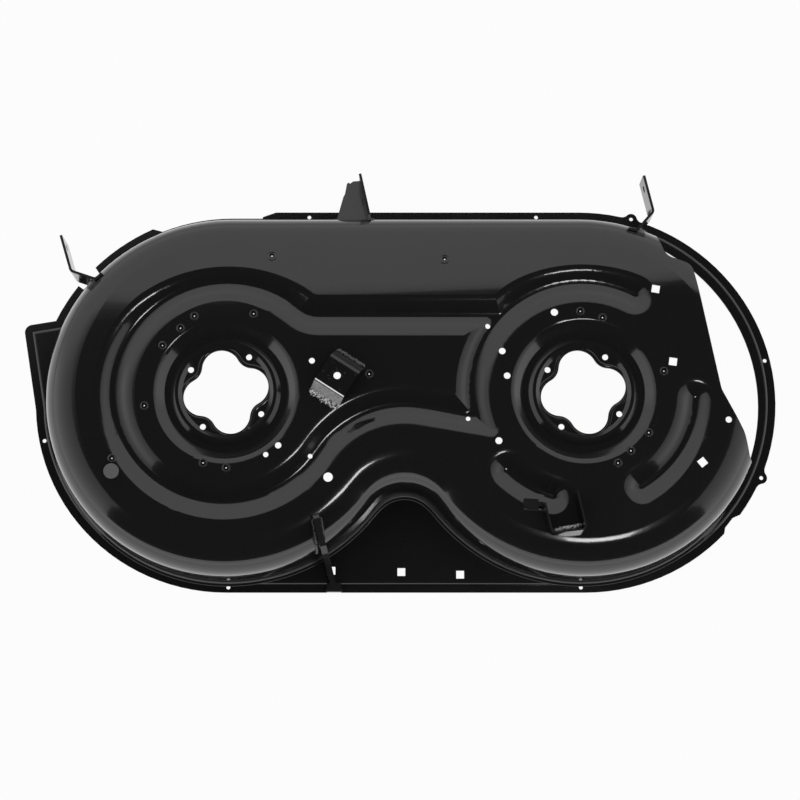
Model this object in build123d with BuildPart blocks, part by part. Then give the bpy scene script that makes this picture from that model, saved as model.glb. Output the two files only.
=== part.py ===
"""Bare deck of a two-blade lawn tractor: one stamped steel shell with its welded brackets.

The origin is the centre of the left spindle's bolt circle, on the top face of its pads.
X runs to the right spindle and the discharge side, Y to the front of the tractor, Z up.
All sizes are in millimetres.
"""

import os
from math import atan2, cos, degrees, radians, sin, sqrt, tan

from build123d import *

# Sheet and levels
sheet = 2.7
deck_height = 114
pad_depth = 14
ledge_height = 9

# Wall of the shell, round both blades
spindle_spacing = 540
wall_margin = 13
wall_shift = 2.5
wall_draft = 5
cusp_radius = 55
shoulder_radius = 52

# Crown: flat at the back, falling gently to the front from a skewed crease
crease_shift = -45
crease_ahead = 31
crease_angle = 2.5
crease_blend = 400
front_fall = 5.5

# Rim flange
rim_reach = 19
rim_shift = 8
rim_side_shift = 1.8
rim_spread = 9.5
flange_width = 12
step_radius = 5
rim_hole_diameter = 6
rim_hole_inset = 8
rim_ear_radius = 9
rim_ear_offset = 0.5
rim_ear_blend = 12
rim_ear_angles = (74, -24.3)
front_rim_holes_x = (119, 479)
left_rim_hole_angle = 193
right_rim_hole_angle = 12
wing_points = [(6, -57), (-26, 124.7), (32, 134.5)]
wing_corner_radius = 12
relief_points = [(-150, -22), (-114, -31.5), (-114, -160), (45, -160), (45, -7.5), (66, 0), (66, 30), (-150, 30)]
relief_flange = 2
left_notch_points = [(-236, 184), (-212, 210), (-232, 240), (-265, 205)]
notch_points = [(247, -174), (236, -179), (224, -194), (222, -205), (240, -225), (270, -190)]

# Stiffening grooves
groove_radius = 168
groove_floor = 12
groove_depth = 11
groove_slope = 32
lip_radius = 28
groove_floor_radius = 20
bridge_y = 116
bridge_turn_radius = 45
bridge_corner_radius = 38
swan_peak_y = -22
swan_end_angle = 80
tail_start_angle = 62
tail_end_angle = 186
kidney_start_angle = -60
kidney_end_angle = -4
heel_start_angle = 226
heel_end_angle = 253

# Spindle seats
bolt_circle = 127
bolt_hole_diameter = 9
bolt_angle = 57.6
dish_radius = 108
dish_lip_radius = 14
dish_floor_radius = 93
dish_floor_inner_radius = 83
seat_ridge_radius = 77
seat_ridge_inner_radius = 72
seat_pad_radius = 66
dish_floor_rise = 1
seat_ridge_rise = 5
lobe_offset = 36
lobe_radius = 29
lobe_blend = 24
bolt_count = 4

# Discharge opening, from the right spindle
trim_points = [
    (100, 340),
    (120, 246),
    (129, 212),
    (169, 199),
    (175, 168),
    (207, 2),
    (241, -64),
    (253, -108),
    (420, -108),
]
trim_radii = [12, 22, 18, 18, 30, 60, 20]

# Holes in the crown, from the spindle that each is nearer to
left_holes = [
    ((130.0, 45.4), 9),
    ((80.6, -84.1), 9.5),
    ((62.2, -98.1), 8),
    ((155.6, -132.2), 14),
    ((128.2, -99.0), 7),
]
right_holes = [
    ((-43.0, 120.5), 11),
    ((-122.6, 60.4), 10),
    ((-115.6, 22.4), 10),
    ((-129.0, -77.0), 10.5),
    ((216.2, -44.9), 9.5),
    ((-143.8, 100.7), 7.5),
    ((-174.5, -41.9), 7),
]
screw_hole_diameter = 2.4
screw_mouth_diameter = 9
left_screw_holes = [
    (-48.7, 114.6),
    (-69.4, 95.9),
    (-95.9, 68.8),
    (-121.3, -23.7),
    (-167.6, -103.7),
    (-31.3, -110.7),
    (3.2, -118.1),
    (41.1, 118.2),
    (67.3, 210.5),
    (216.4, 25.0),
]
right_screw_holes = [
    (-3.7, 122.1),
    (29.8, 112.2),
    (120.8, 29.4),
    (95.8, -64.8),
    (68.4, -92.3),
    (48.7, -110.8),
    (-208.9, 205.0),
]
square_side = 12
right_square_holes = [((111.5, 157.0), -10), ((134.9, 44.1), -8), ((175.1, -109.7), 38)]
ledge_square_holes = [(-112, 22), (-5, 20), (85, 16)]

# Washout plug
plug_point = (-168.1, -123.2)
plug_diameter = 20
plug_head_diameter = 23
plug_head_height = 2
plug_clearance = 0.25

# Hanger brackets: straps on edge that stand out from the front of the wall, drawn out from it and along it
hanger_path = [(-15, 23), (-14, 10), (24, -4), (73, 29)]
hanger_strap = 4
hanger_bend_radius = 7
hanger_hole_diameter = 11
hanger_hole_inset = 16
hanger_hole_drop = 20
left_hanger_angle = 141
left_hanger_top = -4
left_hanger_height = 60
right_hanger_angle = 69
right_hanger_top = -6
right_hanger_height = 46

# Front lift bracket: a sloping web that stands out from the front wall, with one edge folded up
lift_shift = -81
lift_inset = 38
lift_sink = 41.5
lift_fall = 12
lift_strap = 4
lift_web = [(-31, 12), (31, 12), (11, 108), (0, 107), (-4.5, 103), (-7, 105), (-9.5, 103), (-12.5, 84), (-15, 79)]
lift_cheek_root = (34.4, 12.4)
lift_cheek_end = (13.8, 106.4)
lift_cheek = [(4, 5), (30, 12), (97, 12), (97, -27), (4, -8)]
lift_hole_diameter = 11
lift_hole_place = (70, -2)

# Idler saddle: a hat-shaped strap on the crown
saddle_point = (169, 18)
saddle_turn = 57
saddle_width = 51
saddle_top_length = 44
saddle_foot_length = 72
saddle_height = 22
saddle_strap = 3
saddle_hole_diameter = 11
saddle_clear_diameter = 20

# Rear stop bracket: a bent wall with a foot, from the right spindle
stop_path = [(-63.3, -174.5), (-53, -219), (-2.5, -213.5), (-15, -157.5)]
stop_strap = 2.7
stop_height = 31
stop_bend_radius = 6
stop_foot_point = (-82, -172)
stop_foot_length = 22
stop_foot_width = 14
stop_tongue_width = 7
stop_foot_turn = -4
stop_hole_diameter = 8

# Rear link bracket: a plate on edge down the back of the wall
link_angle = -54
link_inset = 48
link_run = (24, -98)
link_strap = 9
link_foot = (22, 14, 12)
link_outline = [(0, 0), (0, 40), (48, 40), (60, 25), (66, -70), (96, -84)]
link_corner_radius = 9
link_hole_diameter = 10
link_hole_place = (25, 28)

top_z = pad_depth
rim_z = pad_depth - deck_height
ledge_z = rim_z + ledge_height
mid_x = spindle_spacing / 2
wall_radius = mid_x + wall_margin
rim_radius = wall_radius + rim_reach
rim_mid_x = mid_x + rim_side_shift
rim_spacing = spindle_spacing + rim_spread
rim_left_x = rim_mid_x - rim_spacing / 2
rim_right_x = rim_mid_x + rim_spacing / 2
right_spindle = Vector(spindle_spacing, 0)

# The crown profile is drawn across the crease
crease_point = (mid_x + crease_shift, bridge_y + crease_ahead)
crease_direction = Vector(1, 0).rotate(Axis.Z, crease_angle)
crown_plane = Plane((*crease_point, 0), x_dir=crease_direction.rotate(Axis.Z, 90), z_dir=crease_direction)

# The swan-neck run leaves the left ring on a tangent, so its centre follows from its peak
swan_reach = groove_radius + swan_peak_y
swan_drop = (mid_x**2 - swan_reach**2) / (2 * swan_reach)
swan_radius = swan_drop + swan_peak_y
swan_lean = degrees(atan2(swan_drop, mid_x))


def wall_outline(inset):
    """Plan of the wall at its foot: two circles, closed straight in front, with a rounded cusp behind."""
    radius = wall_radius - inset
    with BuildSketch() as outline:
        with Locations((0, wall_shift), (spindle_spacing, wall_shift)):
            Circle(radius)
        with Locations((mid_x, wall_shift + radius / 2)):
            Rectangle(spindle_spacing, radius)
        fillet(outline.vertices().sort_by(Axis.Y)[0], cusp_radius + inset)
    return outline.sketch


def deck_form(inset):
    """Solid under the crown skin, `inset` inside the outer face, with its shoulder rounded."""
    reach = 2 * spindle_spacing
    with BuildPart() as form:
        with BuildSketch(Plane.XY.offset(ledge_z - sheet)):
            add(wall_outline(inset))
        extrude(amount=deck_height, taper=wall_draft)
        with BuildSketch(crown_plane) as crown:
            with BuildLine():
                Polyline(
                    (-reach, 2 * rim_z),
                    (-reach, top_z - inset),
                    (0, top_z - inset),
                    (reach, top_z - inset - reach * tan(radians(front_fall))),
                    (reach, 2 * rim_z),
                    close=True,
                )
            make_face()
            crease = crown.vertices().sort_by_distance((0, top_z - inset))[0]
            fillet(crease, crease_blend)
        extrude(amount=reach, both=True, mode=Mode.INTERSECT)
        brim = form.edges().filter_by_position(Axis.Z, top_z - shoulder_radius, top_z)
        brim = brim.filter_by(Axis((0, 0, 0), crease_direction), reverse=True)
        fillet(brim, shoulder_radius - inset)
    return form.part


def groove_edge(side):
    """Edge of the main groove, `side` out from its centre line: its rim, or for a minus side its island."""
    ring = groove_radius + side
    plateau = groove_radius - side
    top = bridge_y + side
    with BuildSketch() as outline:
        with BuildLine():
            neck = CenterArc(
                (mid_x, -swan_drop), swan_radius - side, 180 - swan_lean, swan_end_angle + swan_lean - 180
            )
            foot = PolarLine(neck @ 1, groove_radius, swan_end_angle - 90)
            Polyline(foot @ 1, ((foot @ 1).X, top), (0, top), (0, 0), neck @ 0)
        make_face()
        with Locations((spindle_spacing, 0)):
            Circle(plateau, mode=Mode.SUBTRACT)
        Circle(ring)
        if side > 0:
            add(bead_edge(tail_start_angle, tail_end_angle, side))
        shoulder_reach = sqrt((groove_radius + abs(side)) ** 2 - top**2)
        corners = outline.vertices()
        entry = corners.sort_by_distance((sqrt(ring**2 - top**2), top))[0]
        fork = corners.sort_by_distance((spindle_spacing - shoulder_reach, top))[0]
        heel = corners.filter_by_position(Axis.Y, -groove_radius, -1).sort_by(Axis.X)[-1]
        fillet(entry, bridge_turn_radius - side)
        fillet(fork, bridge_turn_radius - side if side > 0 else bridge_corner_radius + side)
        fillet(heel, bridge_corner_radius + side)
    return outline.sketch


def bead_edge(start, end, side):
    """Edge of a bead round the right spindle, `side` out from its centre line."""
    with BuildSketch() as outline:
        with BuildLine(mode=Mode.PRIVATE) as spine:
            CenterArc((spindle_spacing, 0), groove_radius, start, end - start)
        SlotArc(spine.edge(), 2 * side)
    return outline.sketch


def groove_voids(inset):
    """What the grooves and beads take out of a skin `inset` inside the outer face, as solids."""
    floor_z = top_z - groove_depth - inset
    mouth_z = top_z - inset + 1
    floor_half = groove_floor / 2 + inset * tan(radians(groove_slope / 2))
    mouth_half = floor_half + (mouth_z - floor_z) / tan(radians(groove_slope))
    floor_plane = Plane.XY.offset(floor_z)
    mouth_plane = Plane.XY.offset(mouth_z)
    with BuildPart() as voids:
        with BuildSketch(floor_plane):
            add(groove_edge(floor_half))
        with BuildSketch(mouth_plane):
            add(groove_edge(mouth_half))
        loft(ruled=True)
        with BuildSketch(floor_plane):
            add(groove_edge(-floor_half))
        with BuildSketch(mouth_plane):
            add(groove_edge(-mouth_half))
        loft(ruled=True, mode=Mode.SUBTRACT)
        for start, end in [(kidney_start_angle, kidney_end_angle), (heel_start_angle, heel_end_angle)]:
            with BuildSketch(floor_plane):
                add(bead_edge(start, end, floor_half))
            with BuildSketch(mouth_plane):
                add(bead_edge(start, end, mouth_half))
            loft(ruled=True)
    return voids.part


def dish_voids(inset):
    """What the two spindle dishes take out of a skin `inset` below the outer face: ring floor, ridge and pads."""
    mouth_z = top_z + 1
    mouth_radius = dish_radius + (dish_radius - dish_floor_radius) / (top_z - dish_floor_rise)
    with BuildPart() as voids:
        for centre_x in (0, spindle_spacing):
            plane = Plane((centre_x, 0, -inset), x_dir=(1, 0, 0), z_dir=(0, -1, 0))
            with BuildSketch(plane):
                with BuildLine():
                    Polyline(
                        (0, mouth_z),
                        (0, 0),
                        (seat_pad_radius, 0),
                        (seat_ridge_inner_radius, seat_ridge_rise),
                        (seat_ridge_radius, seat_ridge_rise),
                        (dish_floor_inner_radius, dish_floor_rise),
                        (dish_floor_radius, dish_floor_rise),
                        (mouth_radius, mouth_z),
                        close=True,
                    )
                make_face()
            revolve(axis=Axis((centre_x, 0, 0), (0, 0, 1)))
    return voids.part


def deck_skin(inset):
    """The deck's form with its grooves and dishes, `inset` inside the outer face; the outer bends are rounded."""
    lip_z = top_z - groove_depth / 2
    floor_z = top_z - groove_depth
    with BuildPart() as grooves:
        add(groove_voids(inset))
        if inset == 0:
            fillet(grooves.edges().filter_by_position(Axis.Z, floor_z - 0.1, floor_z + 0.1), groove_floor_radius)
    with BuildPart() as skin:
        add(deck_form(inset))
        for voids, bend in ((grooves.part, lip_radius), (dish_voids(inset), dish_lip_radius)):
            add(voids, mode=Mode.SUBTRACT)
            if inset == 0:
                lips = skin.edges(Select.LAST).filter_by(lambda edge: edge.bounding_box().min.Z > lip_z)
                fillet(lips, bend)
    return skin.part


def rim_outline(inset):
    """Plan of the rim flange, `inset` inside its outer edge: a stadium with the wing at the left front."""
    with BuildSketch() as outline:
        with Locations((rim_mid_x, rim_shift)):
            SlotCenterToCenter(rim_spacing, 2 * rim_radius)
        with BuildSketch(mode=Mode.PRIVATE) as wing:
            corners = [(x - rim_radius, y) for x, y in wing_points]
            Polygon(*corners, (0, corners[-1][1]), (0, corners[0][1]), align=None)
            fillet(wing.vertices().sort_by(Axis.X)[0], wing_corner_radius)
        add(wing.sketch)
        if inset > 0:
            offset(amount=-inset, kind=Kind.INTERSECTION)
    return outline.sketch


def spindle_hole():
    """Four-lobed hole between the bolts of a spindle."""
    with BuildSketch() as hole:
        Circle(lobe_offset)
        with PolarLocations(lobe_offset, bolt_count, start_angle=bolt_angle - 180 / bolt_count):
            Circle(lobe_radius)
        fillet(hole.vertices().sort_by_distance((0, 0))[-bolt_count:], lobe_blend)
    return hole.sketch


def crown_height(x, y):
    """Height of the crown's outer face, flat at the back and falling to the front."""
    ahead = (Vector(x, y) - Vector(crease_point)).dot(crown_plane.x_dir)
    return top_z - max(0, ahead) * tan(radians(front_fall))


def rim_point(centre_x, angle, radius):
    """Point on a circle round an end of the rim."""
    return (centre_x + radius * cos(radians(angle)), rim_shift + radius * sin(radians(angle)))


outer_form = deck_skin(0)
rim_hole_radius = rim_radius - rim_hole_inset
rim_holes = [(x, rim_shift + rim_hole_radius) for x in front_rim_holes_x]
rim_holes += [(x, rim_shift - rim_hole_radius) for x in (0, spindle_spacing)]
rim_holes += [rim_point(rim_left_x, left_rim_hole_angle, rim_hole_radius)]
rim_holes += [rim_point(rim_right_x, right_rim_hole_angle, rim_hole_radius)]
rim_ears = [rim_point(rim_right_x, angle, rim_radius + rim_ear_offset) for angle in rim_ear_angles]

spindle_holes = [
    (Vector(0, 0), left_holes, left_screw_holes),
    (right_spindle, right_holes, right_screw_holes),
]

with BuildPart() as rim_step:
    with BuildSketch(Plane.XY.offset(rim_z)):
        add(rim_outline(flange_width))
    extrude(amount=ledge_height)
    fillet(rim_step.faces().sort_by(Axis.Z)[-1].edges(), step_radius)
    with BuildSketch(Plane.XY.offset(rim_z)):
        add(rim_outline(flange_width + sheet))
    extrude(amount=ledge_height - sheet, mode=Mode.SUBTRACT)
    with BuildSketch(Plane.XY.offset(ledge_z)):
        add(wall_outline(sheet))
        with Locations(*[(mid_x + shift, inset - wall_radius) for shift, inset in ledge_square_holes]):
            Rectangle(square_side, square_side)
    extrude(amount=-ledge_height, mode=Mode.SUBTRACT)

with BuildPart() as deck_shell:
    add(outer_form)
    add(deck_skin(sheet), mode=Mode.SUBTRACT)
    # Discharge opening: the wall and crown are trimmed away above the ledge
    with BuildSketch(Plane.XY.offset(ledge_z)):
        with BuildLine():
            trim = FilletPolyline(*[right_spindle + point for point in trim_points], radius=trim_radii)
            Polyline(trim @ 1, ((trim @ 1).X, (trim @ 0).Y), trim @ 0)
        make_face()
    extrude(amount=deck_height, mode=Mode.SUBTRACT)
    # Ledge round the wall's foot and the rounded step down from it, then the flange that rests on the ground
    add(rim_step.part)
    with BuildSketch(Plane.XY.offset(rim_z)) as flange:
        add(rim_outline(0))
        with Locations(*rim_ears):
            Circle(rim_ear_radius)
        for ear in rim_ears:
            fillet(flange.vertices().sort_by_distance(ear)[:2], rim_ear_blend)
        with BuildSketch(mode=Mode.PRIVATE) as relief:
            Polygon(*[(x, rim_shift + rim_radius + y) for x, y in relief_points], align=None)
            add(rim_outline(flange_width - relief_flange), mode=Mode.SUBTRACT)
        add(relief.sketch, mode=Mode.SUBTRACT)
        Polygon(*[right_spindle + point for point in notch_points], align=None, mode=Mode.SUBTRACT)
        Polygon(*left_notch_points, align=None, mode=Mode.SUBTRACT)
        add(rim_outline(flange_width + sheet), mode=Mode.SUBTRACT)
        with Locations(*rim_holes, *rim_ears):
            Circle(rim_hole_diameter / 2, mode=Mode.SUBTRACT)
    extrude(amount=sheet)
    # Plain holes through the crown, and the spindle seats
    with BuildSketch(Plane.XY.offset(top_z + 1)):
        for spindle, holes, screws in spindle_holes:
            for place, diameter in holes:
                with Locations(spindle + place):
                    Circle(diameter / 2)
            with Locations(*[spindle + place for place in screws]):
                Circle(screw_hole_diameter / 2)
            with Locations(spindle):
                add(spindle_hole())
                with PolarLocations(bolt_circle / 2, bolt_count, start_angle=bolt_angle):
                    Circle(bolt_hole_diameter / 2)
        for place, turn in right_square_holes:
            with Locations(right_spindle + place):
                Rectangle(square_side, square_side, rotation=turn)
        with Locations(plug_point):
            Circle(plug_diameter / 2)
        with Locations(saddle_point):
            Circle(saddle_clear_diameter / 2)
    extrude(amount=-deck_height / 2, mode=Mode.SUBTRACT)
    # Drawn mouths of the screw holes
    for spindle, holes, screws in spindle_holes:
        mouths = [spindle + place for place in screws]
        with Locations(*[(mouth.X, mouth.Y, crown_height(mouth.X, mouth.Y)) for mouth in mouths]):
            Cone(
                screw_hole_diameter / 2,
                screw_mouth_diameter / 2,
                sheet,
                align=(Align.CENTER, Align.CENTER, Align.MAX),
                mode=Mode.SUBTRACT,
            )
deck_shell.part.label = "deck_shell"

with BuildPart() as washout_plug:
    with Locations((*plug_point, top_z)):
        Cylinder(plug_head_diameter / 2, plug_head_height, align=(Align.CENTER, Align.CENTER, Align.MIN))
        Cylinder(
            plug_diameter / 2 - plug_clearance, 2 * sheet, align=(Align.CENTER, Align.CENTER, Align.MAX)
        )
washout_plug.part.label = "washout_plug"


def edge_plane(root, end):
    """Upright plane through two plan points, with X along them and Y up."""
    along = (Vector(end) - Vector(root)).normalized()
    return Plane(root, x_dir=along, z_dir=along.cross(Vector(0, 0, 1)))


def hanger(spindle, angle, side, top, height):
    """A strap on edge that stands out from the wall at an angle round a spindle, with a pin hole near its end."""
    out = Vector(1, 0).rotate(Axis.Z, angle)
    place = Plane(spindle + out * wall_radius + Vector(0, 0, top), x_dir=out, z_dir=(0, 0, 1))
    path = [(reach, side * along) for reach, along in hanger_path]
    bend, tip = [place.from_local_coords(point) - Vector(0, 0, top) for point in path[-2:]]
    with BuildPart() as strap:
        with BuildSketch(place):
            with BuildLine():
                FilletPolyline(*path, radius=hanger_bend_radius)
            trace(line_width=hanger_strap)
        extrude(amount=-height)
        with BuildSketch(edge_plane(tip, bend)):
            with Locations((hanger_hole_inset, top - hanger_hole_drop)):
                Circle(hanger_hole_diameter / 2)
        extrude(amount=hanger_strap, both=True, mode=Mode.SUBTRACT)
        add(outer_form, mode=Mode.SUBTRACT)
    return strap.part


with BuildPart() as hanger_bracket_left:
    add(hanger(Vector(0, 0), left_hanger_angle, -1, left_hanger_top, left_hanger_height))
hanger_bracket_left.part.label = "hanger_bracket_left"

with BuildPart() as hanger_bracket_right:
    add(hanger(right_spindle, right_hanger_angle, 1, right_hanger_top, right_hanger_height))
hanger_bracket_right.part.label = "hanger_bracket_right"

with BuildPart() as front_lift_bracket:
    lift_root = Vector(mid_x + lift_shift, wall_radius - lift_inset)
    lift_root_z = crown_height(lift_root.X, lift_root.Y) - lift_sink
    web_normal = Vector(0, sin(radians(lift_fall)), cos(radians(lift_fall)))
    with BuildSketch(Plane(lift_root + Vector(0, 0, lift_root_z), x_dir=(1, 0, 0), z_dir=web_normal)):
        Polygon(*lift_web, align=None)
    extrude(amount=-lift_strap)
    cheek_plane = edge_plane(lift_root + lift_cheek_root, lift_root + lift_cheek_end)
    with BuildSketch(Plane(cheek_plane.origin + (0, 0, lift_root_z), x_dir=cheek_plane.x_dir, z_dir=cheek_plane.z_dir)):
        Polygon(*lift_cheek, align=None)
        with Locations(lift_hole_place):
            Circle(lift_hole_diameter / 2, mode=Mode.SUBTRACT)
    extrude(amount=-lift_strap)
    add(outer_form, mode=Mode.SUBTRACT)
front_lift_bracket.part.label = "front_lift_bracket"

with BuildPart() as idler_saddle_bracket:
    saddle_end = Vector(saddle_point) + Vector(1, 0).rotate(Axis.Z, saddle_turn)
    saddle_top = top_z + saddle_height - saddle_strap / 2
    with BuildSketch(edge_plane(saddle_point, saddle_end)):
        with BuildLine():
            FilletPolyline(
                (-saddle_foot_length / 2, top_z - saddle_strap),
                (-saddle_top_length / 2, saddle_top),
                (saddle_top_length / 2, saddle_top),
                (saddle_foot_length / 2, top_z - saddle_strap),
                radius=2 * saddle_strap,
            )
        trace(line_width=saddle_strap)
    extrude(amount=saddle_width / 2, both=True)
    with Locations((*saddle_point, top_z + saddle_height)):
        Cylinder(saddle_hole_diameter / 2, saddle_height, mode=Mode.SUBTRACT)
    add(outer_form, mode=Mode.SUBTRACT)
idler_saddle_bracket.part.label = "idler_saddle_bracket"

with BuildPart() as rear_stop_bracket:
    stop_points = [right_spindle + point for point in stop_path]
    with BuildSketch(Plane.XY.offset(top_z + stop_height)):
        with BuildLine():
            FilletPolyline(*stop_points, radius=stop_bend_radius)
        trace(line_width=stop_strap)
    extrude(amount=-2 * stop_height)
    with BuildSketch(Plane.XY.offset(top_z)):
        with Locations(right_spindle + stop_foot_point):
            Rectangle(stop_foot_length, stop_foot_width, rotation=stop_foot_turn)
            Rectangle(
                stop_path[0][0] - stop_foot_point[0],
                stop_tongue_width,
                rotation=stop_foot_turn,
                align=(Align.MIN, Align.CENTER),
            )
    extrude(amount=stop_strap)
    with BuildSketch(edge_plane(stop_points[0], stop_points[1])):
        with Locations(((stop_points[1] - stop_points[0]).length / 2, top_z + stop_height / 2)):
            Circle(stop_hole_diameter / 2)
    extrude(amount=stop_strap, both=True, mode=Mode.SUBTRACT)
    add(outer_form, mode=Mode.SUBTRACT)
rear_stop_bracket.part.label = "rear_stop_bracket"

with BuildPart() as rear_link_bracket:
    link_root = Vector(wall_radius - link_inset, 0).rotate(Axis.Z, link_angle)
    with BuildSketch(edge_plane(link_root, link_root + link_run)) as outline:
        Polygon(*link_outline, (link_outline[-1][0], ledge_z), (0, ledge_z), align=None)
        fillet(outline.vertices().sort_by(Axis.Y)[-2:], link_corner_radius)
        with Locations(link_hole_place):
            Circle(link_hole_diameter / 2, mode=Mode.SUBTRACT)
    extrude(amount=link_strap / 2, both=True)
    with Locations((link_root.X + link_run[0], rim_shift - rim_radius, rim_z + sheet)):
        Box(*link_foot, align=(Align.CENTER, Align.MIN, Align.MIN))
    add(outer_form, mode=Mode.SUBTRACT)
    add(deck_shell.part, mode=Mode.SUBTRACT)
rear_link_bracket.part.label = "rear_link_bracket"

os.makedirs("parts", exist_ok=True)
export_step(deck_shell.part, "parts/deck_shell.step")
export_step(washout_plug.part, "parts/washout_plug.step")
export_step(hanger_bracket_left.part, "parts/hanger_bracket_left.step")
export_step(hanger_bracket_right.part, "parts/hanger_bracket_right.step")
export_step(front_lift_bracket.part, "parts/front_lift_bracket.step")
export_step(idler_saddle_bracket.part, "parts/idler_saddle_bracket.step")
export_step(rear_stop_bracket.part, "parts/rear_stop_bracket.step")
export_step(rear_link_bracket.part, "parts/rear_link_bracket.step")
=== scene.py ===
"""Looks of a bare lawn tractor deck: gloss black powder coat over pressed steel, from above on white."""

from math import cos, pi, radians, sin
from random import Random

import bpy
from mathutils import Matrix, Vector
from mathutils.bvhtree import BVHTree


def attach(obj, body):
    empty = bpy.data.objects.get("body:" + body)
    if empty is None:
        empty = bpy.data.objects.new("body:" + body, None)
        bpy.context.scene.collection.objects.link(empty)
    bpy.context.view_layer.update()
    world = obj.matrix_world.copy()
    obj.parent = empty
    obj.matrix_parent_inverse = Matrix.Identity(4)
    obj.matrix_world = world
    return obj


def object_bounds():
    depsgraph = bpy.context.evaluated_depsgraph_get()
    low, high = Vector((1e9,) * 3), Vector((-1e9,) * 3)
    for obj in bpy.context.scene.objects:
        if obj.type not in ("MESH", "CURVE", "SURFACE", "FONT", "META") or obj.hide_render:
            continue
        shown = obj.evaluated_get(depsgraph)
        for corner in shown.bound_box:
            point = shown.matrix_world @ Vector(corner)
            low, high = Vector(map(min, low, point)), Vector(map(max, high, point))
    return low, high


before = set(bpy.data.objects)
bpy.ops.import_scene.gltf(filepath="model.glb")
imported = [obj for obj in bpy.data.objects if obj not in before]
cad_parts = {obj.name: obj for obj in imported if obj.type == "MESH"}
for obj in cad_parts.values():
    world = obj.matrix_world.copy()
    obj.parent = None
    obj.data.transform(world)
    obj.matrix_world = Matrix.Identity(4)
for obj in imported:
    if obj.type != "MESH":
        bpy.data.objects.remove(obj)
cad_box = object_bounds()

# Deck shell: one sheet of steel pressed to shape and sprayed gloss black all over.
# Its flats are mirror smooth with a slight orange peel, and its pressed lips catch thin lines of light.
# Handling has left faint smears in the gloss and a little dust.


class Wire:
    """An output socket of a node tree that takes part in Python sums."""

    def __init__(self, socket):
        self.socket = socket

    def node(self, kind, output=0, settings=None, **inputs):
        """Adds any node, sets its settings and then its inputs, and gives back one of its outputs."""
        tree = self.socket.id_data
        made = tree.nodes.new(kind)
        for name, value in (settings or {}).items():
            setattr(made, name, value)
        for name, value in inputs.items():
            key = int(name[1:]) if name[1:].isdigit() else name.replace("_", " ")
            if isinstance(value, Wire):
                value.feed(made, key)
            else:
                made.inputs[key].default_value = value
        return Wire(made.outputs[output])

    def feed(self, node, socket):
        """Links this wire to a socket of a node."""
        self.socket.id_data.links.new(self.socket, node.inputs[socket])

    def maths(self, operation, first, second):
        return self.node("ShaderNodeMath", settings={"operation": operation}, i0=first, i1=second)

    def __add__(self, other):
        return self.maths("ADD", self, other)

    __radd__ = __add__

    def __sub__(self, other):
        return self.maths("SUBTRACT", self, other)

    def __rsub__(self, other):
        return self.maths("SUBTRACT", other, self)

    def __mul__(self, other):
        return self.maths("MULTIPLY", self, other)

    __rmul__ = __mul__

    def __gt__(self, other):
        return self.maths("GREATER_THAN", self, other)

    def __lt__(self, other):
        return self.maths("LESS_THAN", self, other)


def new_finish(name, **constants):
    """A new material, the Wire of its surface coordinates, and its shader with constants set."""
    material = bpy.data.materials.new(name)
    material.use_nodes = True
    tree = material.node_tree
    shader = tree.nodes["Principled BSDF"]
    for socket, value in constants.items():
        shader.inputs[socket.replace("_", " ")].default_value = value
    return material, Wire(tree.nodes.new("ShaderNodeTexCoord").outputs["Object"]), shader


def noise(place, scale, detail, rough=0.5):
    return place.node("ShaderNodeTexNoise", Vector=place, Scale=scale, Detail=detail, Roughness=rough)


def grey(tone, shader):
    """Colours a shader in a grey that varies."""
    tone.node("ShaderNodeCombineColor", Red=tone, Green=tone, Blue=tone).feed(shader, "Base Color")


def bump(height, strength, distance, shader):
    """Roughens a shader's surface."""
    raised = height.node("ShaderNodeBump", Height=height, Strength=strength, Distance=distance)
    raised.feed(shader, "Normal")


def powder_coat(name, black, gloss, peel_depth):
    """Gloss black powder coat: orange peel, faint handling smears and a few specks of dust."""
    material, place, paint = new_finish(name, IOR=1.5, Coat_Weight=0.5, Coat_Roughness=0.04)
    peel = noise(place, scale=240.0, detail=2.0)
    smear = noise(place, scale=11.0, detail=5.0, rough=0.6)
    specks = (noise(place, scale=700.0, detail=1.0) > 0.74) * 0.02
    grey(specks + black, paint)
    (smear * 0.1 + (gloss - 0.05)).feed(paint, "Roughness")
    bump(peel, peel_depth, 0.0006, paint)
    return material


def finish_node(name, material):
    """Puts a finish on a piece of the frame."""
    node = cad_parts[name]
    node.data.materials.clear()
    node.data.materials.append(material)
    return node


deck_paint = powder_coat("deck_gloss_black", black=0.012, gloss=0.13, peel_depth=0.05)
deck_shell = finish_node("deck_shell", deck_paint)
shell_skin = BVHTree.FromObject(deck_shell, bpy.context.evaluated_depsgraph_get())

# Wall foot: the press draws the sheet from the wall to the ledge round a small radius along the rear.
# It is the same painted sheet, and its hollow gathers the light in a thin line.
mm = 0.001
down = Vector((0, 0, -1))
left_spindle = Vector((0, 0, 0))
right_spindle = Vector((540, 0, 0))
foot_radius = 6.0
foot_sink = 0.6
foot_root = 1.5
foot_steps = 8
foot_smoothing = 5
foot_taper = 14
foot_depth = 91
low_probe_depth = 86
high_probe_depth = 76
probe_reach = 400
left_bend = range(192, 288)
rear_straight = range(82, 458, 2)
right_bend = range(252, 326)


def put(name, data):
    """Places new data in the scene as an object."""
    thing = bpy.data.objects.new(name, data)
    bpy.context.scene.collection.objects.link(thing)
    return thing


def mesh_piece(name, points, faces, finishes, smooth):
    """A fixed piece of the deck made from a mesh in metres, with one smooth flag for each face."""
    mesh = bpy.data.meshes.new(name)
    mesh.from_pydata(points, [], faces)
    mesh.polygons.foreach_set("use_smooth", smooth)
    for finish in finishes:
        mesh.materials.append(finish)
    piece = put(name, mesh)
    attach(piece, "root")
    return mesh


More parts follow.
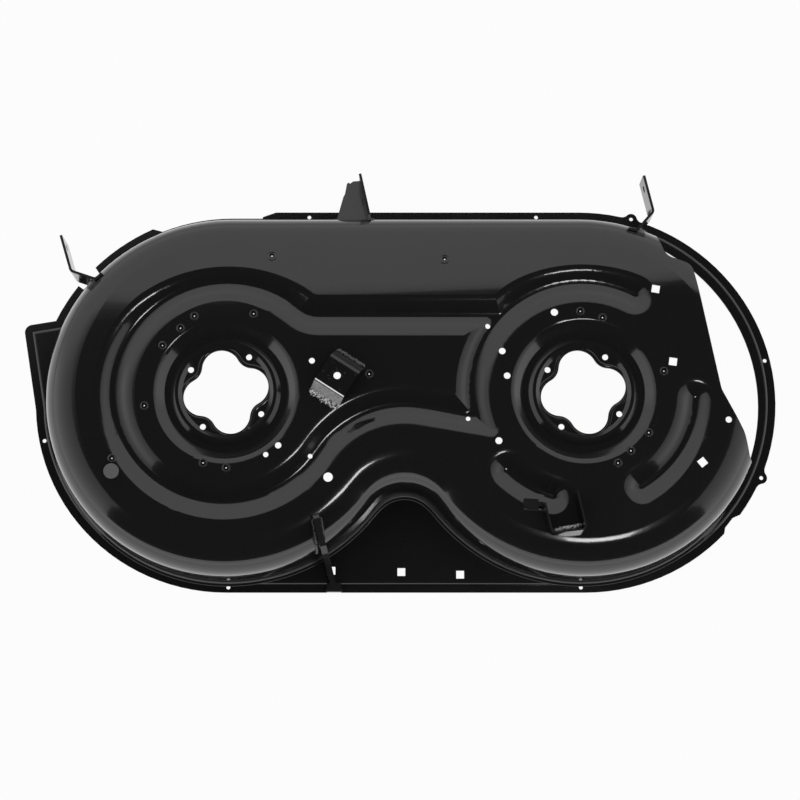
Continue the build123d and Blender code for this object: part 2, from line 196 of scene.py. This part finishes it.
def sleeve(ring, here, there):
    """The faces between two rings of points that start at these places in the list."""
    afters = [(k + 1) % ring for k in range(ring)]
    return [(here + k, here + after, there + after, there + k) for k, after in enumerate(afters)]


def capped_tube(ring, count):
    """The faces of a tube of rings laid one after another, closed at both ends."""
    faces = []
    for i in range(count - 1):
        faces += sleeve(ring, i * ring, (i + 1) * ring)
    return faces + [tuple(reversed(range(ring))), tuple(range((count - 1) * ring, count * ring))]


def bend_probes(centre, azimuths):
    """Rays that come in level at a rounded end of the wall."""
    outs = [Vector((cos(radians(azimuth)), sin(radians(azimuth)), 0)) for azimuth in azimuths]
    return [(centre + out * probe_reach, -out) for out in outs]


def evened(points):
    """The points with each one moved to the middle of its neighbours along the run."""
    reach = range(-foot_smoothing, foot_smoothing + 1)
    last = len(points) - 1
    return [
        sum((points[min(max(i + k, 0), last)] for k in reach), Vector()) / len(reach)
        for i in range(last + 1)
    ]


probes = bend_probes(left_spindle, left_bend)
probes += [(Vector((x, -probe_reach, 0)), Vector((0, 1, 0))) for x in rear_straight]
probes += bend_probes(right_spindle, right_bend)
feet, heads = [], []
for start, inward in probes:
    low = shell_skin.ray_cast((start + down * low_probe_depth) * mm, inward)[0]
    high = shell_skin.ray_cast((start + down * high_probe_depth) * mm, inward)[0]
    lean = (high - low) / (low_probe_depth - high_probe_depth)
    feet.append(low / mm - lean / mm * (foot_depth - low_probe_depth))
    heads.append(high / mm)
feet, heads = evened(feet), evened(heads)
points = []
for i, foot in enumerate(feet):
    run = feet[min(i + 1, len(feet) - 1)] - feet[max(i - 1, 0)]
    out = Vector((run.y, -run.x, 0)).normalized()
    rise = (heads[i] - foot) / (heads[i].z - foot.z)
    size = foot_radius * min(1, (i + 1) / foot_taper, (len(feet) - i) / foot_taper)
    points.append((foot - out * foot_root - rise) * mm)
    for k in range(foot_steps + 1):
        turn = pi / 2 * k / foot_steps
        reach = size * (1 - cos(turn)) - foot_sink
        lift = size * (1 - sin(turn))
        points.append((foot + out * reach + rise * lift) * mm)
ring = foot_steps + 2
faces = capped_tube(ring, len(feet))
hollow = [1 <= k % ring <= foot_steps for k in range(len(faces) - 2)] + [False, False]
mesh_piece("wall_foot_radius", points, faces, [deck_paint], hollow)

# Spindle holes: each four-lobed hole is pierced through its seat, and the punch rolls its edge down.
# The roll is part of the sheet, and draws a thin line of light beside the bolt holes.
edge_profile = [
    (7.0, -0.4),
    (5.6, 0.15),
    (4.2, 0.4),
    (2.8, 0.3),
    (1.6, -0.1),
    (0.6, -0.9),
    (0.0, -2.0),
    (0.6, -2.6),
    (7.0, -2.0),
]
edge_turns = 240
edge_span = 2
search_start, search_end, search_step = 40.0, 75.0, 0.1
search_height = 30.0


def turned_faces(ring, first, turns):
    """The faces of a profile carried once round, from the place of its first point in the list."""
    faces = []
    for i in range(turns):
        here, there = first + i * ring, first + (i + 1) % turns * ring
        faces += [(a, d, c, b) for a, b, c, d in sleeve(ring, here, there)]
    return faces


def hole_edge(x, turn):
    """The first point of the seat outwards from a spindle, in millimetres at the height of the pads."""
    reach = search_start
    while reach < search_end:
        spot = Vector((x + reach * cos(turn), reach * sin(turn), search_height))
        hit = shell_skin.ray_cast(spot * mm, down)[0]
        if hit and hit.z > -mm:
            break
        reach += search_step
    return Vector((spot.x, spot.y, 0))


for name, spindle in (("spindle_edge_left", left_spindle), ("spindle_edge_right", right_spindle)):
    edge = [hole_edge(spindle.x, 2 * pi * i / edge_turns) for i in range(edge_turns)]
    points = []
    for i, spot in enumerate(edge):
        run = edge[(i + edge_span) % edge_turns] - edge[i - edge_span]
        out = Vector((run.y, -run.x, 0)).normalized()
        points += [(spot + out * reach + Vector((0, 0, rise))) * mm for reach, rise in edge_profile]
    faces = turned_faces(len(edge_profile), 0, edge_turns)
    mesh_piece(name, points, faces, [deck_paint], [True] * len(faces))

# Screw holes: the sheet is pierced and drawn into a raised lip round each hole for a cover screw.
# The lips are part of the sheet and carry its paint, and the seat inside each is painted near black as
# painted shade for the shadow down the hole.
screw_holes = [
    (-48.7, 114.6), (-69.4, 95.9), (-95.9, 68.8), (-121.3, -23.7), (-167.6, -103.7), (-31.3, -110.7),
    (3.2, -118.1), (41.1, 118.2), (67.3, 210.5), (216.4, 25.0), (536.3, 122.1), (569.8, 112.2),
    (660.8, 29.4), (635.8, -64.8), (608.4, -92.3), (588.7, -110.8), (331.1, 205.0),
]
wide_lips = {(67.3, 210.5): 1.25, (331.1, 205.0): 1.25}
lip_profile = [
    (6.7, -0.8),
    (6.5, 0.2),
    (5.9, 0.75),
    (5.1, 0.9),
    (4.5, 0.6),
    (4.1, -0.3),
    (1.0, -0.6),
    (1.0, -0.9),
]
seat_sides = (5, 6)
lip_turns = 28
lip_probe = 8.5
lip_probe_height = 100
# Painted shade: a near-black, barely reflecting finish on each hole's seat stands in for the shadow
# inside the hole.
seat_shade, place, hole_shade_shader = new_finish("screw_seat_painted_shade", Specular_IOR_Level=0.05)
pits = noise(place, scale=800.0, detail=2.0)
grey(pits * 0.01 + 0.002, hole_shade_shader)
(pits * 0.2 + 0.6).feed(hole_shade_shader, "Roughness")
points, faces = [], []
ring = len(lip_profile)
for x, y in screw_holes:
    above = Vector((x + lip_probe, y, lip_probe_height))
    seat, up = shell_skin.ray_cast(above * mm, down)[:2]
    centre = Vector((x * mm, y * mm, seat.z + up.x / up.z * lip_probe * mm))
    scale = wide_lips.get((x, y), 1.0)
    east = Vector((0, 1, 0)).cross(up).normalized()
    north = up.cross(east)
    faces += turned_faces(ring, len(points), lip_turns)
    for i in range(lip_turns):
        turn = 2 * pi * i / lip_turns
        out = east * cos(turn) + north * sin(turn)
        points += [centre + (out * reach * scale + up * rise) * mm for reach, rise in lip_profile]
seats = [k % ring in seat_sides for k in range(len(faces))]
painted = [not seat for seat in seats]
lips = mesh_piece(
    "screw_hole_lips", points, faces, [deck_paint, seat_shade], painted
)
lips.polygons.foreach_set("material_index", [int(seat) for seat in seats])

# Hanger brackets: two bent straps of 4 mm steel on edge, each welded by its foot to the front wall.
# They are painted with the deck, so the beads of weld are as black and glossy as the strap.
bead_step = 0.9
bead_pitch = 3.4
bead_sides = 8
bead_low, bead_swell = 0.72, 0.28
bead_unevenness = 0.14
bead_drift = 0.12
bead_spread, bead_height = 1.1, 0.85
bead_taper = 3
bead_tip = 0.6


def weld_coat(name, dark, bright):
    """Paint over the ripples of a bead, lighter in random patches by the bright share; a high share
    makes them painted glints.
    """
    material, place, paint = new_finish(name, Coat_Weight=0.6, Coat_Roughness=0.06)
    lumps = noise(place, scale=520.0, detail=3.0)
    grey((noise(place, scale=420.0, detail=3.0, rough=0.65) > 0.5) * bright + dark, paint)
    (lumps * 0.2 + 0.08).feed(paint, "Roughness")
    bump(lumps, 0.5, 0.0008, paint)
    return material


weld_black = weld_coat("weld_gloss_black", dark=0.008, bright=0.015)


def weld_bead(name, route, width, seed, finish=weld_black):
    """A rippled bead of weld laid on the shell along a route in millimetres, half sunk in it."""
    draws = Random(seed)
    corners = [Vector(point) for point in route]
    spots = []
    for start, end in zip(corners, corners[1:]):
        count = max(2, round((end - start).length / bead_step))
        spots += [start.lerp(end, i / count) for i in range(count)]
    spots.append(corners[-1])
    last = len(spots) - 1
    points = []
    for i, spot in enumerate(spots):
        seat, up = shell_skin.find_nearest(spot * mm)[:2]
        along = (spots[min(i + 1, last)] - spots[max(i - 1, 0)]).normalized()
        side = along.cross(up).normalized()
        swell = bead_swell * abs(sin(pi * i * bead_step / bead_pitch))
        ripple = bead_low + swell + draws.uniform(-bead_unevenness, bead_unevenness)
        taper = min(1.0, (min(i, last - i) + bead_tip) / bead_taper) ** 0.5
        radius = width / 2 * ripple * taper * mm
        middle = seat + side * draws.uniform(-bead_drift, bead_drift) * width * mm
        for k in range(bead_sides):
            turn = 2 * pi * k / bead_sides
            across = side * (bead_spread * radius * cos(turn))
            points.append(middle + across + up * (bead_height * radius * sin(turn)))
    faces = capped_tube(bead_sides, len(spots))
    mesh_piece(name, points, faces, [finish], [True] * len(faces))


strap_paint = powder_coat("strap_gloss_black", black=0.014, gloss=0.2, peel_depth=0.08)
finish_node("hanger_bracket_left", strap_paint)
finish_node("hanger_bracket_right", strap_paint)
left_foot = [(-200, 186, -12), (-212, 177, -20), (-222, 176, -34)]
right_foot = [(618, 262, -12), (634, 262, -20), (646, 262, -34)]
weld_bead("weld_hanger_left", left_foot, width=4.5, seed=1)
weld_bead("weld_hanger_right", right_foot, width=4.5, seed=2)

# Front lift bracket: a sloping steel web with one edge folded up, welded to the wall under the shoulder.
# The lift rod's pin goes through the folded edge, and the web's sheared edge is left as cut.
finish_node("front_lift_bracket", strap_paint)
web_root = [(160, 284, -43), (190, 284, -43), (214, 284, -43)]
cheek_root = [(220, 272, -22), (220, 278, -30), (219, 283, -42)]
weld_bead("weld_lift_web", web_root, width=5.0, seed=3)
weld_bead("weld_lift_cheek", cheek_root, width=5.0, seed=4)

# Idler saddle: a hat-shaped strap across the crown for the belt idler's bolt, welded along both feet.
# Its rear leg is painted pale grey with scuffy variation as a painted reflection, a painted highlight
# runs along its fold, and its rear bead has painted glints.
saddle_centre = Vector((169.0, 18.0, 14.0))
saddle_turn = radians(57)
saddle_run = Vector((cos(saddle_turn), sin(saddle_turn), 0.0))
saddle_side = Vector((-sin(saddle_turn), cos(saddle_turn), 0.0))
saddle_foot = 36.6
saddle_half_width = 25.0
saddle_bend = -0.0205
fold_width = 0.002
leg_start = 0.0033


def axis(place, name):
    """One of the three coordinates of a place."""
    return place.node("ShaderNodeSeparateXYZ", output="xyz".index(name), Vector=place)


saddle_paint, place, paint = new_finish("saddle_black_painted_light", Coat_Weight=0.4, Coat_Roughness=0.06)
along = axis(place, "x") * saddle_run.x + axis(place, "y") * saddle_run.y
along = along - saddle_run.dot(saddle_centre) * mm
scuffs = noise(place, scale=330.0, detail=4.0, rough=0.7)
# Painted highlight: a white line along the fold, where the bend would mirror the light.
fold_painted_highlight = (along < saddle_bend) * (along > saddle_bend - fold_width)
# Painted reflection: the rear leg is coloured pale grey with scuffy variation, standing in for light
# mirrored off it.
leg_painted_reflection = (along < saddle_bend - leg_start) * (scuffs * 0.8 - 0.08) + fold_painted_highlight
chips = (noise(place, scale=210.0, detail=1.0) > 0.72) * 0.03
grey(leg_painted_reflection + chips + 0.009, paint)
(scuffs * 0.15 + leg_painted_reflection * 0.5 + 0.12).feed(paint, "Roughness")
bump(scuffs, 0.12, 0.0005, paint)
finish_node("idler_saddle_bracket", saddle_paint)
# Painted glints: a bead finish with pale patches that stand in for light caught on the weld's ripples.
weld_glint_coat = weld_coat("weld_painted_glints", dark=0.01, bright=0.8)
weld_dull = weld_coat("weld_dull_grey", dark=0.012, bright=0.05)
across = saddle_side * saddle_half_width
for name, end, width, seed, finish in (
    ("weld_saddle_rear", -saddle_foot, 12.0, 5, weld_glint_coat),
    ("weld_saddle_front", saddle_foot, 8.0, 6, weld_dull),
):
    foot = saddle_centre + saddle_run * end
    weld_bead(name, [foot - across, foot + across], width, seed, finish)

# Rear stop: a bent wall of sheet with a small foot, welded on the crown behind the right spindle.
# A heavy bead runs along the inside of its rear wall, with painted glints in its colour.
finish_node("rear_stop_bracket", strap_paint)
stop_inside = [(492, -212, 14), (514, -208, 14), (533, -204, 14)]
weld_bead("weld_stop_wall", stop_inside, width=6.5, seed=7, finish=weld_glint_coat)
weld_bead("weld_stop_side", [(480, -184, 14), (486, -212, 14)], width=4.0, seed=8)
weld_bead("weld_stop_foot", [(447, -180, 14), (470, -181, 14)], width=4.0, seed=9)

# Rear link bracket: a thick plate on edge down the back of the wall beside the cusp, for the lift link.
# It is welded down both sides and again at its toe on the flange.
finish_node("rear_link_bracket", strap_paint)
link_root = Vector((138.1, -190.1, 14.0))
link_run = Vector((0.2379, -0.9713, 0.0))
link_side = Vector((0.9713, 0.2379, 0.0))
link_drops = [(4, 0), (30, -4), (52, -22), (66, -55)]
link_toe = [(150, -292, -97), (162, -281, -91), (174, -292, -97)]
for name, offset, seed in (("weld_link_left", -6.0, 10), ("weld_link_right", 6.0, 11)):
    root = link_root + link_side * offset
    route = [root + link_run * run + Vector((0, 0, drop)) for run, drop in link_drops]
    weld_bead(name, route, width=5.5, seed=seed)
weld_bead("weld_link_toe", link_toe, width=5.0, seed=12)

# Washout plug: a moulded grey plastic push-in that closes the hole at the left rear of the crown.
# Its head has the fine grain of the mould.
plug_plastic, place, resin = new_finish("plug_grey_plastic")
grain = noise(place, scale=900.0, detail=3.0)
grey(grain * 0.12 + 0.07, resin)
(grain * 0.2 + 0.35).feed(resin, "Roughness")
bump(grain, 0.15, 0.0003, resin)
finish_node("washout_plug", plug_plastic)

# Studio floor: a pale sweep of matt card that the deck stands on, with the deck's soft shadow on it.
# The camera sees it as plain white, and the gloss sees it shaded in front of the deck.
floor_size = 12.0
floor_place = (0.27, 0.0, cad_box[0].z - 0.0005)
floor_grey = (0.6, 0.6, 0.6, 1.0)
floor_white = 0.96
floor_front_shade = 0.75
floor_far_share = 0.6


def seen_plainly(tree, gloss_share):
    """1 for rays from the camera or glass, a share for those from gloss, 0 for light on things."""
    path = tree.nodes.new("ShaderNodeLightPath")
    kinds = ("Is Camera Ray", "Is Glossy Ray", "Is Transmission Ray")
    camera, gloss, glass = [Wire(path.outputs[kind]) for kind in kinds]
    return camera + gloss * gloss_share + glass


def blend(tree, share, first, second, output="Material Output"):
    """Mixes two shaders by a share that varies and sends them to the output."""
    mix = tree.nodes.new("ShaderNodeMixShader")
    share.feed(mix, 0)
    tree.links.new(first.outputs[0], mix.inputs[1])
    tree.links.new(second.outputs[0], mix.inputs[2])
    tree.links.new(mix.outputs[0], tree.nodes[output].inputs["Surface"])


def ramp(value, low, high):
    """Rises from 0 to 1 between two values."""
    return value.node("ShaderNodeMapRange", Value=value, From_Min=low, From_Max=high)


bpy.ops.mesh.primitive_plane_add(size=floor_size, location=floor_place)
floor = bpy.context.object
floor.name = "studio_floor"
floor_paint, place, matt = new_finish("studio_floor_white", Base_Color=floor_grey, Roughness=0.9)
tree = floor_paint.node_tree
ahead = axis(place, "y")
front = ramp(ahead, 0.25, 0.5)
far = ramp(ahead, 0.9, 1.5)
shade = (front - far * floor_far_share) * floor_front_shade
plain = seen_plainly(tree, 1.0 - shade) * floor_white
blend(tree, plain, matt, tree.nodes.new("ShaderNodeEmission"))
floor.data.materials.append(floor_paint)

# Studio surround: the cloth walls of a photo tent, bright low down at the sides and even in front.
# The camera and glass see it as plain white.
tent_gloss_white = 0.25
tent_white = 0.975
pure_white = (1.0, 1.0, 1.0, 1.0)
world = bpy.data.worlds.new("studio_surround")
bpy.context.scene.world = world
world.use_nodes = True
tree = world.node_tree
sky = tree.nodes["Background"]
sky.inputs["Color"].default_value = pure_white
gaze = Wire(tree.nodes.new("ShaderNodeTexCoord").outputs["Generated"])
height = axis(gaze, "z")
side_wall = 1.4 - height * 1.24
front_wall = 0.66 + height * 0.22
corner = ramp(axis(gaze, "y"), 0.25, 0.45)
(side_wall + corner * (front_wall - side_wall)).feed(sky, "Strength")
white = tree.nodes.new("ShaderNodeBackground")
white.inputs["Color"].default_value = pure_white
white.inputs["Strength"].default_value = tent_white
blend(tree, seen_plainly(tree, tent_gloss_white), sky, white, "World Output")

# Black card: it hangs over the camera and spreads out behind it, so that the paint's flats mirror black.
# The cloth is worn thin towards its front left corner.
card_height = 3.4
card_corners = [
    (-1.7, 1.45),
    (-1.7, -0.85),
    (-16.7, -12.2),
    (18.1, -12.2),
    (2.25, -0.85),
    (2.25, 1.45),
]
card_black = (0.004, 0.004, 0.004, 1.0)
card_mesh = bpy.data.meshes.new("studio_black_card")
card_points = [(x, y, card_height) for x, y in card_corners]
card_mesh.from_pydata(card_points, [], [tuple(range(len(card_points)))])
card = put("studio_black_card", card_mesh)
card_paint, place, felt = new_finish(
    "studio_card_black", Base_Color=card_black, Roughness=1.0, Specular_IOR_Level=0.0
)
tree = card_paint.node_tree
to_corner = axis(place, "y") * 0.77 - axis(place, "x") * 0.64
frayed = ramp(to_corner, 1.1, 2.1)
blend(tree, frayed, felt, tree.nodes.new("ShaderNodeBsdfTransparent"))
card_mesh.materials.append(card_paint)
card.visible_camera = False
card.visible_shadow = False
card.visible_diffuse = False

# Soft box: a lamp behind a small white cloth, hung at the right below the black card.
# It draws the white lines on the pressed lips.
box_size = (0.5, 0.28)
box_radiance = 13.0
lamp = bpy.data.lights.new("studio_box", "AREA")
lamp.shape = "RECTANGLE"
lamp.size, lamp.size_y = box_size
lamp.energy = box_radiance * pi * box_size[0] * box_size[1]
put("studio_box", lamp).location = (0.92, -0.48, 3.05)

# Camera: a long lens on a boom over the deck.
# It looks down from just behind the deck's middle.
camera_distance = 3.0
camera_elevation = radians(79)
target = Vector((0.26295, -0.01237, 0.0))
camera_data = bpy.data.cameras.new("camera")
camera_data.sensor_width = 36.0
camera_data.lens = 89.4
camera_data.dof.use_dof = False
camera = put("camera", camera_data)
back = Vector((0.0, -cos(camera_elevation), sin(camera_elevation)))
camera.location = target + back * camera_distance
camera.rotation_mode = "QUATERNION"
camera.rotation_quaternion = (-back).to_track_quat("-Z", "Y")
bpy.context.scene.camera = camera
bpy.context.scene.view_settings.view_transform = "Standard"
